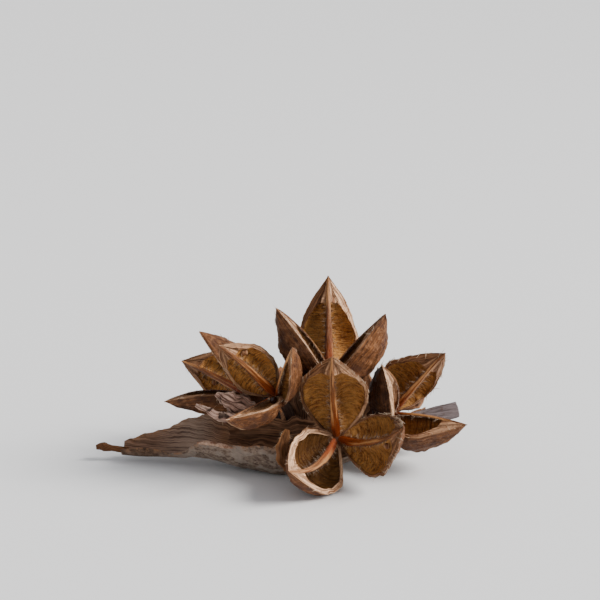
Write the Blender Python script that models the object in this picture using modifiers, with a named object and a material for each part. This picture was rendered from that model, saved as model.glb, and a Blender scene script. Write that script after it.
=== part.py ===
"""A dried star pod: a bird-of-paradise seed head, lying on its side.

A boat-shaped dry bract, the spathe, runs from a beaked tip at -X to the cut stalk at +X. Woody capsules
stand out of it on short branches of the stalk. Each has split into three valves, which spread like a
star. A valve is one third of the fruit: two cut faces that meet in a ridge along the fruit's axis, each
hollowed by half a seed chamber, with a solid beak above.
"""

import math
import random

import bmesh
import bpy
import numpy as np
from mathutils import Matrix, Vector

MM = 0.001

# Valve shape. Shares are of the valve's length, counted from the heart of the star to the beak's tip.
WIDEST_AT = 0.38
HEART_WIDTH = 0.24
TIP_RADIUS = 0.9 * MM
RIDGE_HALF = 3.6 * MM
CUP_FROM = 0.05
CUP_STATIONS = (0.03, 0.14, 0.3, 0.5, 0.7, 0.85, 0.94, 0.99)
BEAK_STATIONS = (0.3, 0.62, 0.85, 1.0)
CUP_STEPS = (0.3, 0.62, 0.85)
BACK_STEPS = (0.55, 0.0)

# Each capsule, in millimetres and degrees: where its heart is, the share of a valve's length at which its
# seed chambers end, the points its branch passes from the stalk up, and its three valves. A valve's row
# says where its beak reaches, how wide it is for its length, how thick its wall is, how deep its back is
# for its width, the angle from its back to each cut face, how far the middle of its ridge bends towards
# the fruit's axis and across it, and how far it is rolled about its ridge.
CAPSULES = {
    "capsule_top": {
        "heart": (32, 16, 64),
        "cup_to": 0.73,
        "branch": ((30, 16, 19), (31, 17, 42)),
        "valves": (
            ((31, 48, 123), 0.30, 2.8, 0.78, 60, (0, 0), 0),
            ((-3, -9, 116), 0.30, 2.6, 0.95, 60, (4, 0), 8),
            ((67, -12, 113), 0.30, 2.6, 0.92, 60, (2, 0), -10),
        ),
    },
    "capsule_front": {
        "heart": (36, -14, 29),
        "cup_to": 0.76,
        "branch": ((38, 17, 19), (37, 2, 24)),
        "valves": (
            ((32, -42, 93), 0.32, 2.4, 0.78, 60, (0, 0), -12),
            ((5, -68, 26), 0.36, 3.6, 0.92, 82, (-3, 7), -12),
            ((77, -62, 53), 0.315, 2.4, 0.78, 60, (-3, -4), 0),
        ),
    },
    "capsule_left": {
        "heart": (-4, -9, 57),
        "cup_to": 0.75,
        "branch": ((8, 14, 18), (5, 13, 36)),
        "valves": (
            ((-40, -27, 96), 0.29, 2.6, 0.78, 60, (0, 0), -8),
            ((7, -41, 99), 0.27, 2.6, 0.78, 60, (1, 0), -30),
            ((-35, -51, 54), 0.28, 2.6, 0.78, 60, (0, 0), 48),
        ),
    },
    "capsule_far_left": {
        "heart": (-23, 17, 48),
        "cup_to": 0.76,
        "branch": ((-6, 14, 18), (-11, 15, 37)),
        "valves": (
            ((-69, 55, 61), 0.33, 2.4, 0.78, 60, (0, 0), -15),
            ((-77, -7, 52), 0.27, 2.4, 0.78, 60, (6, 0), -3),
            ((-54, 2, 97), 0.27, 2.4, 0.78, 60, (0, 0), 0),
        ),
    },
    "capsule_right": {
        "heart": (74, 18, 36),
        "cup_to": 0.70,
        "branch": ((57, 23, 21), (66, 22, 28)),
        "valves": (
            ((108, 10, 80), 0.36, 2.8, 0.78, 60, (0, 0), 22),
            ((121, -16, 39), 0.38, 2.8, 0.95, 60, (2, 0), -20),
            ((66, -8, 76.5), 0.37, 5.5, 0.95, 60, (7, 0), 22),
        ),
    },
    "capsule_rear_left": {
        "heart": (-12, 48, 38),
        "cup_to": 0.74,
        "branch": ((-2, 14, 18), (-5, 26, 34), (-9, 38, 39)),
        "valves": (
            ((-25, 86, -1), 0.29, 2.6, 0.78, 60, (0, 0), 0),
            ((-55, 81, 50), 0.29, 2.6, 0.78, 60, (0, 0), 0),
            ((1, 101, 34), 0.29, 2.6, 0.78, 60, (0, 0), 0),
        ),
    },
    "capsule_rear_right": {
        "heart": (64, 45, 37),
        "cup_to": 0.75,
        "branch": ((66, 26, 23), (64, 33, 33)),
        "valves": (
            ((72, 84, -2), 0.30, 2.6, 0.78, 60, (0, 0), 0),
            ((44, 96, 42), 0.30, 2.6, 0.78, 60, (0, 0), 0),
            ((103, 83, 42), 0.30, 2.6, 0.78, 60, (0, 0), 0),
        ),
    },
}
HEART_RADIUS = 6.5 * MM
BRANCH_RADIUS = 3.4 * MM
GAP = 0.3 * MM
# The exact solver leaves open edges where three valves meet in a heart.
HEART_SOLVER = "MANIFOLD"

# The stalk and the bract's three long lines, from the beaked tip to the stalk, in millimetres.
STALK_LINE = ((-16, 14, 18), (0, 14, 18), (30, 16, 19), (60, 25, 20.5), (90, 35, 25.5), (119, 40, 31))
STALK_RADII = (3.0, 4.6, 5.6, 5.8, 5.2, 5.6)
KEEL_LINE = ((-108, 24.6, 4.8), (-94, 23, 4.2), (-74, 19, 5.9), (-51, 14, 6.8), (-30, 8, 3.6), (-3, 0, 0.3),
             (10, 2, 1), (40, 12, 4), (70, 24, 10), (98, 33, 15))
BACK_EDGE = ((-107, 30, 12.4), (-80, 36, 19.6), (-53, 40, 26.5), (-29, 41, 33.7), (-12, 36, 32), (0, 34, 31),
             (30, 35, 27), (60, 38, 24), (85, 44, 27), (98, 48, 30))
FRONT_EDGE = ((-109, 21, 9), (-91, 16, 12), (-70, 10, 10.4), (-54, 0, 21.4), (-38, -8, 22.8),
              (-25, -14, 23.9), (-1, -20, 25), (14, -10, 10), (30, -2, 8), (60, 14, 13), (98, 30, 19))
BEAK_LINE = ((-126, 26, 9), (-122, 26.4, 9.4), (-117, 26, 8.6), (-112, 25.6, 8), (-104, 25, 7))
BEAK_RADII = (1.6, 3.1, 2.4, 3.0, 2.6)
SPATHE_WALL = 1.6 * MM
SPATHE_STATIONS = 26
SPATHE_WALL_STEPS = 5

# Scraps of dry bract: a line for each, from where it is held to its tip, its half widths, and the way its
# width runs.
BLADES = {
    "bract_upper": {
        "line": ((-17, 3, 42), (-25, -3, 48), (-35, -10, 54), (-43, -12, 59)),
        "halves": (2.5, 7, 7, 1.5),
        "width": (0, -0.3, 1),
    },
    "bract_lower": {
        "line": ((-15, -1, 38), (-27, -10, 41), (-41, -15, 45), (-56, -14, 52)),
        "halves": (2.5, 4, 3.2, 1.2),
        "width": (0, -0.3, 1),
    },
    "bract_inner": {
        "line": ((-36, 16, 22), (-16, 7, 25), (2, 2, 26), (22, 7, 26)),
        "halves": (5, 11, 11, 9),
        "width": (0, 0.25, 1),
    },
    "bract_middle": {
        "line": ((14, 23, 27), (14, 24, 40), (13, 26, 52), (11, 29, 65)),
        "halves": (6, 12, 10, 3),
        "width": (1, 0.2, 0),
    },
    "bract_right": {
        "line": ((53, 22, 31), (53, 20, 38), (52, 19, 46), (51, 20, 54)),
        "halves": (3, 6, 6, 2),
        "width": (1, 0.2, 0),
    },
    "bract_front": {
        "line": ((4, -21, 10), (1, -24, 20), (1, -25, 30), (4, -23, 38)),
        "halves": (2.5, 4.5, 4.5, 1.5),
        "width": (1, 0.4, 0),
    },
}
BLADE_THICKNESS = 1.0 * MM

# The middle of the finished pod in the layout's millimetres: it is moved from there to the origin.
MIDDLE = (-2.41, 16.41)

# Dry colours: linear base colour and roughness.
SHELL = (0.20, 0.105, 0.05, 1.0)
BRACT = (0.095, 0.07, 0.055, 1.0)
STALK = (0.13, 0.10, 0.095, 1.0)


def clear_scene():
    for obj in list(bpy.data.objects):
        bpy.data.objects.remove(obj)


def material(name, colour, roughness):
    made = bpy.data.materials.new(name)
    made.use_nodes = True
    shader = made.node_tree.nodes["Principled BSDF"]
    shader.inputs["Base Color"].default_value = colour
    shader.inputs["Roughness"].default_value = roughness
    return made


def collection(name):
    made = bpy.data.collections.new(name)
    bpy.context.scene.collection.children.link(made)
    return made


def mesh_object(name, points, faces, home):
    mesh = bpy.data.meshes.new(name)
    mesh.from_pydata([tuple(p) for p in points], [], faces)
    obj = bpy.data.objects.new(name, mesh)
    home.objects.link(obj)
    return obj


def smooth_line(points, count):
    """count points, evenly spaced, on a smooth curve through the given points, in metres."""
    p = np.array(points, float)
    p = np.vstack([2 * p[0] - p[1], p, 2 * p[-1] - p[-2]])
    fine = []
    for a, b, c, d in zip(p[:-3], p[1:-2], p[2:-1], p[3:]):
        for u in np.linspace(0, 1, 24, endpoint=False):
            fine.append(0.5 * (2 * b + (c - a) * u + (2 * a - 5 * b + 4 * c - d) * u**2
                               + (3 * b - a - 3 * c + d) * u**3))
    fine.append(p[-2])
    fine = np.array(fine)
    along = np.concatenate([[0], np.cumsum(np.linalg.norm(np.diff(fine, axis=0), axis=1))])
    wanted = np.linspace(0, along[-1], count)
    return np.stack([np.interp(wanted, along, fine[:, k]) for k in range(3)], axis=1) * MM


def half_width(t):
    """Distance of a valve's rim from its ridge line at t, as a share of its greatest."""
    if t > WIDEST_AT:
        return 1 - ((t - WIDEST_AT) / (1 - WIDEST_AT)) ** 1.8
    return 1 - (1 - HEART_WIDTH) * ((WIDEST_AT - t) / WIDEST_AT) ** 2.3


def cup_opening(t, cup_to):
    """How far open the seed chamber is at t: 1 along its middle, 0 past its rounded ends."""
    q = abs(2 * (t - CUP_FROM) / (cup_to - CUP_FROM) - 1)
    return math.sqrt(1 - q**2.3) if q < 1 else 0.0


def stations(cup_to):
    """Where a valve's sections are: the heart, along the chambers and along the beak."""
    chamber = [CUP_FROM + share * (cup_to - CUP_FROM) for share in CUP_STATIONS]
    return [0.0, *chamber, *(cup_to + share * (1 - cup_to) for share in BEAK_STATIONS)]


def half_section(t, width, wall, depth, third, cup_to):
    """One side of a valve's section, (across, inward) points from the ridge over the cut face, into the
    cup and out over the rim to the middle of the back. The ridge is at (0, 0) and the back at -inward."""
    rim = max(half_width(t) * width, TIP_RADIUS) / math.sin(third)
    ridge = min(RIDGE_HALF * (1 - 0.8 * t) * min(1, 0.6 + 3 * t), 0.3 * rim) / math.sin(third)
    opened = cup_opening(t, cup_to)
    inner = max(rim - wall, 0.6 * rim)
    middle = 0.5 * (ridge + inner)
    spread = max(opened, 0.2)
    near = middle - (middle - ridge * 1.12) * spread
    far = middle + (inner - middle) * spread

    def on_face(r):
        return np.array([r * math.sin(third), -r * math.cos(third)])

    dug = opened**0.8
    floor = max(depth * rim - wall, 0.5 * rim)
    deep_near = dug * np.array([-0.08 * inner, -1.12 * floor]) + (1 - dug) * on_face(near)
    deep_far = dug * np.array([0.66 * inner, -1.16 * floor]) + (1 - dug) * on_face(far)
    start, end = on_face(near), on_face(far)
    points = [np.array([0.0, 0.12 * ridge]), on_face(ridge), start]
    for u in CUP_STEPS:
        if opened > 0:
            points.append((1 - u) ** 3 * start + 3 * u * (1 - u) ** 2 * deep_near
                          + 3 * u * u * (1 - u) * deep_far + u**3 * end)
        else:
            points.append(start + u * (end - start))
    points += [end, on_face(rim)]
    for share in BACK_STEPS:
        angle = third * share
        r = rim * (1 - (1 - depth) * (1 - share**2) ** 0.8)
        points.append(np.array([r * math.sin(angle), -r * math.cos(angle)]))
    return points


def valve_loops(length, width, wall, depth, third, bend, cup_to, seed):
    """The valve's sections, ridge along +Z from the heart and its inner side towards +Y, each a closed loop."""
    draw = random.Random(seed)
    lean = draw.uniform(-0.06, 0.06)
    twist = math.radians(draw.uniform(-9, 9))
    bow, sway = bend[0] * MM, bend[1] * MM + length * draw.uniform(-0.02, 0.02)
    phase = [draw.uniform(0, 2 * math.pi) for _ in range(4)]
    loops = []
    for t in stations(cup_to):
        side = half_section(t, width, wall, depth, third, cup_to)
        left = [np.array([-p[0], p[1]]) for p in side[1:-1]]
        loop = []
        for k, p in enumerate(side + left[::-1]):
            around = math.atan2(p[0], -p[1])
            wave = (0.022 * math.sin(9 * t + 2 * around + phase[0])
                    + 0.016 * math.sin(17 * t - 3 * around + phase[1]))
            x = p[0] * (1 + wave + (lean if p[0] > 0 else -lean))
            y = p[1] * (1 + wave)
            turn = twist * (t - 0.4)
            arch = 4 * t * (1 - t)
            loop.append((x * math.cos(turn) - y * math.sin(turn) + sway * arch,
                         x * math.sin(turn) + y * math.cos(turn) + bow * arch,
                         t * length))
        loops.append(np.array(loop))
    return loops


def valve_frame(heart, beak, axis, roll):
    """Matrix that stands a valve on the heart, ridge towards the beak and inner side towards the axis."""
    along = (beak - heart).normalized()
    inward = (axis - axis.dot(along) * along).normalized()
    inward.rotate(Matrix.Rotation(math.radians(roll), 3, along))
    across = inward.cross(along)
    turn = Matrix((across, inward, along)).transposed()
    return Matrix.Translation(heart) @ turn.to_4x4()


def sheet_faces(stations, row):
    """Triangles of a sheet's grid, so that both of its sides are split alike once it is made thick."""
    faces = []
    for j in range(stations - 1):
        for k in range(row - 1):
            a = j * row + k
            faces += [(a, a + 1, a + row + 1), (a, a + row + 1, a + row)]
    return faces


def lofted(name, loops, home):
    """A closed solid skinned over loops of equal length, with flat ends."""
    ring = len(loops[0])
    faces = [(j * ring + k, j * ring + (k + 1) % ring, (j + 1) * ring + (k + 1) % ring, (j + 1) * ring + k)
             for j in range(len(loops) - 1) for k in range(ring)]
    faces.append(tuple(reversed(range(ring))))
    faces.append(tuple(range((len(loops) - 1) * ring, len(loops) * ring)))
    obj = mesh_object(name, np.vstack(loops), faces, home)
    mesh = bmesh.new()
    mesh.from_mesh(obj.data)
    bmesh.ops.recalc_face_normals(mesh, faces=mesh.faces)
    bmesh.ops.triangulate(mesh, faces=[f for f in mesh.faces if len(f.verts) > 4], ngon_method="EAR_CLIP")
    mesh.to_mesh(obj.data)
    mesh.free()
    return obj


def tube(name, line, radii, home, sides=10):
    """A round tapering solid along a line of points, in metres."""
    line = [Vector(p) for p in line]
    loops = []
    across = None
    for k, point in enumerate(line):
        along = (line[min(k + 1, len(line) - 1)] - line[max(k - 1, 0)]).normalized()
        if across is None:
            across = along.orthogonal().normalized()
        across = (across - across.dot(along) * along).normalized()
        other = along.cross(across)
        radius = float(radii[k])
        loops.append(np.array([point + radius * math.cos(a) * across + radius * math.sin(a) * other
                               for a in [2 * math.pi * i / sides for i in range(sides)]]))
    return lofted(name, loops, home)


def heart_ball(name, centre, home):
    bpy.ops.mesh.primitive_uv_sphere_add(segments=10, ring_count=7, radius=HEART_RADIUS)
    ball = bpy.context.active_object
    ball.name = name
    ball.data.name = name
    ball.data.transform(Matrix.Translation(centre))
    for old in list(ball.users_collection):
        old.objects.unlink(ball)
    home.objects.link(ball)
    return ball


def capsule_axis(plan):
    """The fruit's heart, its three beaks and its axis, in metres."""
    heart = Vector(plan["heart"]) * MM
    beaks = [Vector(valve[0]) * MM for valve in plan["valves"]]
    return heart, beaks, sum(((b - heart).normalized() for b in beaks), Vector()).normalized()


def branch(name, plan, home, spare=0.0):
    """The branch that holds a fruit, from inside the stalk into the foot of the heart. With spare, the
    room it needs there."""
    heart, beaks, axis = capsule_axis(plan)
    foot = heart - 1.7 * HEART_RADIUS * axis
    top = heart - 0.6 * HEART_RADIUS * axis
    line = smooth_line((*plan["branch"], tuple(foot / MM), tuple(top / MM)), 7)
    line[-1] += spare * (line[-1] - line[-2]) / np.linalg.norm(line[-1] - line[-2])
    return tube(name, line, [BRANCH_RADIUS + spare] * 7, home, sides=8)


def capsule(name, plan, seed, home, cutters):
    """One split fruit: three valves and the heart that joins them, fused, with a socket for its branch."""
    heart, beaks, axis = capsule_axis(plan)
    body = heart_ball(name, heart - 0.75 * HEART_RADIUS * axis, home)
    pieces = collection(name + "_pieces")
    for k, (beak, valve) in enumerate(zip(beaks, plan["valves"])):
        _, width, wall, depth, spread, bend, roll = valve
        length = (beak - heart).length
        loops = valve_loops(length, width * length, wall * MM, depth, math.radians(spread), bend,
                            plan["cup_to"], 10 * seed + k)
        body_part = lofted(f"{name}_valve_{k + 1}", loops, pieces)
        body_part.data.transform(valve_frame(heart, beak, axis, roll))
    join(body, pieces, HEART_SOLVER)
    cut(body, branch(name + "_socket", plan, cutters, GAP), HEART_SOLVER)
    stand(body, cutters, HEART_SOLVER)
    return body


def cut(body, cutter, solver="EXACT"):
    cutter.hide_render = True
    cutter.display_type = "WIRE"
    difference = body.modifiers.new("cut", "BOOLEAN")
    difference.operation = "DIFFERENCE"
    difference.object = cutter
    difference.solver = solver
    apply_modifiers(body)


def stand(body, cutters, solver="EXACT"):
    """Wears flat whatever of the piece would reach below the ground."""
    low = min(v.co.z for v in body.data.vertices)
    if low >= 0:
        return
    bpy.ops.mesh.primitive_cube_add(size=0.4, location=(0, 0, -0.2))
    ground = bpy.context.active_object
    ground.name = body.name + "_ground"
    for old in list(ground.users_collection):
        old.objects.unlink(ground)
    cutters.objects.link(ground)
    cut(body, ground, solver)


def join(body, pieces, solver="EXACT"):
    """Fuses every object of the collection into body, then removes them."""
    union = body.modifiers.new("fused", "BOOLEAN")
    union.operation = "UNION"
    union.operand_type = "COLLECTION"
    union.collection = pieces
    union.solver = solver
    apply_modifiers(body)
    for obj in list(pieces.objects):
        bpy.data.objects.remove(obj)
    bpy.data.collections.remove(pieces)


def apply_modifiers(obj):
    bpy.context.view_layer.update()
    graph = bpy.context.evaluated_depsgraph_get()
    mesh = bpy.data.meshes.new_from_object(obj.evaluated_get(graph))
    obj.modifiers.clear()
    obj.data = mesh


def spathe(home, cutters):
    """The boat-shaped bract: two walls that rise from the keel, open above, and a solid beak in front."""
    keel = smooth_line(KEEL_LINE, SPATHE_STATIONS)
    back = smooth_line(BACK_EDGE, SPATHE_STATIONS)
    front = smooth_line(FRONT_EDGE, SPATHE_STATIONS)
    draw = random.Random(3)
    steps = SPATHE_WALL_STEPS
    points = []
    for j in range(SPATHE_STATIONS):
        along = keel[min(j + 1, SPATHE_STATIONS - 1)] - keel[max(j - 1, 0)]
        along /= np.linalg.norm(along)
        for edge, way in ((back, 1), (front, -1)):
            rise = edge[j] - keel[j]
            out = way * np.cross(rise, along)
            out /= np.linalg.norm(out)
            torn = 1 + 0.05 * draw.uniform(-1, 1)
            wall = []
            for v in np.linspace(0, 1, steps + 1)[1:]:
                bulge = 0.16 * np.linalg.norm(rise) * math.sin(math.pi * v**0.8)
                wall.append(keel[j] + rise * v * torn + out * bulge)
            if way > 0:
                points += wall[::-1] + [keel[j]]
            else:
                points += wall
    row = 2 * steps + 1
    body = mesh_object("spathe", points, sheet_faces(SPATHE_STATIONS, row), home)
    shell = body.modifiers.new("wall", "SOLIDIFY")
    shell.thickness = SPATHE_WALL
    shell.offset = 0.0
    shell.use_even_offset = True
    apply_modifiers(body)
    pieces = collection("spathe_pieces")
    line = smooth_line(BEAK_LINE, 9)
    radii = np.interp(np.linspace(0, 1, 9), np.linspace(0, 1, len(BEAK_RADII)), BEAK_RADII) * MM
    tube("spathe_beak", line, radii, pieces)
    join(body, pieces)
    stand(body, cutters)
    return body


def blade(name, plan, seed, home):
    """A narrow, crumpled scrap of bract, thick enough to hold."""
    count = 10
    line = smooth_line(plan["line"], count)
    halves = plan["halves"]
    halves = np.interp(np.linspace(0, 1, count), np.linspace(0, 1, len(halves)), halves) * MM
    draw = random.Random(seed)
    phase = [draw.uniform(0, 2 * math.pi) for _ in range(3)]
    points = []
    for j in range(count):
        along = line[min(j + 1, count - 1)] - line[max(j - 1, 0)]
        along /= np.linalg.norm(along)
        up = np.array(plan["width"], float)
        up -= up.dot(along) * along
        up /= np.linalg.norm(up)
        out = np.cross(up, along)
        for v in np.linspace(-1, 1, 6):
            fold = halves[j] * (0.35 * (1 - v * v) + 0.12 * math.sin(4 * v + 1.3 * j + phase[0])
                                + 0.08 * math.sin(7 * v - 0.9 * j + phase[1]))
            edge = 1 + 0.16 * math.sin(2.1 * j + phase[2] + v)
            points.append(line[j] + up * halves[j] * v * edge + out * fold)
    body = mesh_object(name, points, sheet_faces(count, 6), home)
    shell = body.modifiers.new("sheet", "SOLIDIFY")
    shell.thickness = BLADE_THICKNESS
    shell.offset = 0.0
    shell.use_even_offset = True
    apply_modifiers(body)
    return body


def stalk(home):
    """The cut stalk and the branches that carry the fruits, fused."""
    radii = np.interp(np.linspace(0, 1, 12), np.linspace(0, 1, len(STALK_RADII)), STALK_RADII) * MM
    body = tube("stalk", smooth_line(STALK_LINE, 12), radii, home, sides=12)
    pieces = collection("stalk_pieces")
    for name, plan in CAPSULES.items():
        branch(name + "_branch", plan, pieces)
    join(body, pieces)
    return body


def main():
    clear_scene()
    pod = collection("star_pod")
    cutters = collection("cutters")
    shell = material("dry_capsule_shell", SHELL, 0.6)
    bract = material("dry_bract", BRACT, 0.75)
    wood = material("dry_stalk", STALK, 0.7)
    for number, (name, plan) in enumerate(CAPSULES.items(), 1):
        capsule(name, plan, number, pod, cutters).data.materials.append(shell)
    spathe(pod, cutters).data.materials.append(bract)
    for number, (name, plan) in enumerate(BLADES.items(), 5):
        blade(name, plan, number, pod).data.materials.append(bract)
    stalk(pod).data.materials.append(wood)
    for obj in pod.objects:
        obj.data.transform(Matrix.Translation((-MIDDLE[0] * MM, -MIDDLE[1] * MM, 0)))


main()
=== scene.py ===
"""The dried star pod as the photo shows it: fine pieces in place of the CAD nodes, with fibres, cracks
and dry colours, on a pale floor in soft studio light."""

import math
import random

import bpy
import numpy as np
from mathutils import Matrix, Vector


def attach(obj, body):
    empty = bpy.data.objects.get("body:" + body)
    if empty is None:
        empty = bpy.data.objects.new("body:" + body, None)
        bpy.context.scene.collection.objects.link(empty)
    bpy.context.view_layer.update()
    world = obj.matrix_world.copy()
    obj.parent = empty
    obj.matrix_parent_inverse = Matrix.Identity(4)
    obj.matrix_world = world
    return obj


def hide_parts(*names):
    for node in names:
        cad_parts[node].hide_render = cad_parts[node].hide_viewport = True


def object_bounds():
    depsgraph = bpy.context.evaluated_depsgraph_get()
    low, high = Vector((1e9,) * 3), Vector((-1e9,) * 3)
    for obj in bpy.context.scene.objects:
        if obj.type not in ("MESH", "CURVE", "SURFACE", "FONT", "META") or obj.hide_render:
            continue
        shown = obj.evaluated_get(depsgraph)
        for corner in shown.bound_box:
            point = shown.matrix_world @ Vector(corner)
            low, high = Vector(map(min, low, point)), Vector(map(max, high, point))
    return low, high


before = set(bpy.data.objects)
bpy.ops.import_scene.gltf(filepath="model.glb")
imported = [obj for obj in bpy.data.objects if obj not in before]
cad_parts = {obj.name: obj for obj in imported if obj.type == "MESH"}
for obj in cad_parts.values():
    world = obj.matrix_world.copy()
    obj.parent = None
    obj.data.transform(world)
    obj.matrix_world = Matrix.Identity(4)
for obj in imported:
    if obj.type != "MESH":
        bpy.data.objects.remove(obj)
CAD_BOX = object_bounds()

MM = 0.001

# Valve shape, as in the part's source.
WIDEST_AT = 0.38
HEART_WIDTH = 0.24
TIP_RADIUS = 0.45 * MM
RIDGE_HALF = 3.6 * MM
CUP_FROM = 0.05
HEART_RADIUS = 6.5 * MM
BRANCH_RADIUS = 3.4 * MM
MIDDLE = (-2.41, 16.41)

# Each capsule with its valves' rows as in the part's source, in millimetres and degrees: beak, width, wall,
# depth of back, angle from back to cut face, bend and roll. A row ends with how its valve looks: the tone
# of its outside and ridge from dark to light, partly the valve's own and partly painted shade on valves
# that sit in shadow, how strong the marks of its seeds are, how frayed its rim is, how pale each of its
# two cut faces is, partly their own brown and partly painted shade on the face turned from the light, the
# tone of its seed chambers, and how much pale husk lines them.
# Lumps are what is left of seeds: which valve, how far along, which side, how far out, and its size.
CAPSULES = {
    "capsule_top": {
        "heart": (32, 16, 64), "cup_to": 0.73,
        "branch": ((30, 16, 19), (31, 17, 42)),
        "valves": (
            ((31, 48, 123), 0.30, 2.8, 0.78, 60, (0, 0), 0, (0.5, 0.0, 0.1, 0.05, 0.9, 0.8, 0)),
            ((-3, -9, 116), 0.30, 2.6, 0.95, 60, (4, 0), 8, (0.25, 0.0, 1.0, 0.65, 0.3, 0.3, 0)),
            ((67, -12, 113), 0.30, 2.6, 0.92, 60, (2, 0), -10, (0.62, 0.0, 0.2, 0.3, 0.3, 0.4, 0)),
        ),
    },
    "capsule_front": {
        "heart": (36, -14, 29), "cup_to": 0.76,
        "branch": ((38, 17, 19), (37, 2, 24)),
        "valves": (
            ((32, -42, 93), 0.32, 2.4, 0.78, 60, (0, 0), -12, (0.5, 0.0, 0.4, 0.1, 0.38, 0.7, 0)),
            ((5, -68, 26), 0.36, 3.6, 0.92, 82, (-3, 7), -12, (0.55, 0.0, 0.1, 1.0, 1.0, 0.0, 0)),
            ((77, -62, 53), 0.315, 2.4, 0.78, 60, (-3, -4), 0, (0.5, 0.0, 1.0, 0.15, 0.1, 0.75, 0)),
        ),
        "lumps": ((2, 0.6, -1, 0.3, 2.2),),
    },
    "capsule_left": {
        "heart": (-4, -9, 57), "cup_to": 0.75,
        "branch": ((8, 14, 18), (5, 13, 36)),
        "valves": (
            ((-40, -27, 96), 0.29, 2.6, 0.78, 60, (0, 0), -8, (0.6, 1.0, 0.1, 0.25, 0.4, 1.0, 0)),
            ((7, -41, 99), 0.27, 2.6, 0.78, 60, (1, 0), -30, (0.6, 0.3, 0.1, 0.3, 0.35, 0.5, 0)),
            ((-35, -51, 54), 0.28, 2.6, 0.78, 60, (0, 0), 48, (0.75, 0.2, 0.1, 1.0, 1.0, 0.6, 0.55)),
        ),
        "lumps": ((0, 0.63, -1, 0.5, 2.6),),
    },
    "capsule_far_left": {
        "heart": (-23, 17, 48), "cup_to": 0.76,
        "branch": ((-6, 14, 18), (-11, 15, 37)),
        "valves": (
            ((-69, 55, 61), 0.33, 2.4, 0.78, 60, (0, 0), -15, (0.6, 1.0, 0.3, 0.2, 0.2, 1.0, 0)),
            ((-77, -7, 52), 0.27, 2.4, 0.78, 60, (6, 0), -3, (0.35, 0.4, 0.1, 0.3, 0.3, 0.4, 0)),
            ((-54, 2, 97), 0.27, 2.4, 0.78, 60, (0, 0), 0, (0.55, 0.4, 0.3, 0.6, 0.6, 0.4, 0)),
        ),
        "lumps": ((0, 0.6, 1, 0.5, 2.2),),
    },
    "capsule_right": {
        "heart": (74, 18, 36), "cup_to": 0.70,
        "branch": ((57, 23, 21), (66, 22, 28)),
        "valves": (
            ((108, 10, 80), 0.36, 2.8, 0.78, 60, (0, 0), 22, (0.5, 0.2, 0.6, 0.1, 0.3, 0.7, 0)),
            ((121, -16, 39), 0.38, 2.8, 0.95, 60, (2, 0), -20, (0.35, 0.4, 0.1, 0.35, 0.35, 0.45, 0)),
            ((66, -8, 76.5), 0.37, 5.5, 0.95, 60, (7, 0), 22, (0.0, 0.0, 1.0, 0.9, 0.9, 0.4, 0.85)),
        ),
    },
    "capsule_rear_left": {
        "heart": (-12, 48, 38), "cup_to": 0.74,
        "branch": ((-2, 14, 18), (-5, 26, 34), (-9, 38, 39)),
        "valves": (
            ((-25, 86, -1), 0.29, 2.6, 0.78, 60, (0, 0), 0, (0.5, 0.6, 0.2, 0.7, 0.3, 0.6, 0)),
            ((-55, 81, 50), 0.29, 2.6, 0.78, 60, (0, 0), 0, (0.45, 0.3, 0.3, 0.5, 0.2, 0.5, 0)),
            ((1, 101, 34), 0.29, 2.6, 0.78, 60, (0, 0), 0, (0.6, 0.6, 0.1, 0.8, 0.6, 0.7, 0)),
        ),
        "lumps": ((2, 0.55, 1, 0.4, 2.3),),
    },
    "capsule_rear_right": {
        "heart": (64, 45, 37), "cup_to": 0.75,
        "branch": ((66, 26, 23), (64, 33, 33)),
        "valves": (
            ((72, 84, -2), 0.30, 2.6, 0.78, 60, (0, 0), 0, (0.5, 0.3, 0.1, 0.8, 0.5, 0.6, 0)),
            ((44, 96, 42), 0.30, 2.6, 0.78, 60, (0, 0), 0, (0.4, 0.2, 0.2, 0.6, 0.3, 0.5, 0)),
            ((103, 83, 42), 0.30, 2.6, 0.78, 60, (0, 0), 0, (0.5, 0.5, 0.2, 0.5, 0.7, 0.6, 0)),
        ),
    },
}

# The dried seed left in the left capsule, and a tiny pale grain beside it: place and radius, in millimetres.
SEED = ((-5.5, -17.5, 56.5), 2.5)
SEED_GRAIN = ((-8.2, -19.0, 57.6), 0.7)

# The stalk, the bract and its scraps, as in the part's source.
STALK_LINE = ((-16, 14, 18), (0, 14, 18), (30, 16, 19), (60, 25, 20.5), (90, 35, 25.5), (119, 40, 31))
STALK_RADII = (3.0, 4.6, 5.6, 5.8, 5.2, 5.6)
KEEL_LINE = ((-108, 24.6, 4.8), (-94, 23, 4.2), (-74, 19, 5.9), (-51, 14, 6.8), (-30, 8, 3.6), (-3, 0, 0.3),
             (10, 2, 1), (40, 12, 4), (70, 24, 10), (98, 33, 15))
BACK_EDGE = ((-107, 30, 12.4), (-80, 36, 19.6), (-53, 40, 26.5), (-29, 41, 33.7), (-12, 36, 32), (0, 34, 31),
             (30, 35, 27), (60, 38, 24), (85, 44, 27), (98, 48, 30))
FRONT_EDGE = ((-109, 21, 9), (-91, 16, 12), (-70, 10, 10.4), (-54, 0, 21.4), (-38, -8, 22.8),
              (-25, -14, 23.9), (-1, -20, 25), (14, -10, 10), (30, -2, 8), (60, 14, 13), (98, 30, 19))
BEAK_LINE = ((-126, 26, 9), (-122, 26.4, 9.4), (-117, 26, 8.6), (-112, 25.6, 8), (-104, 25, 7))
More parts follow.
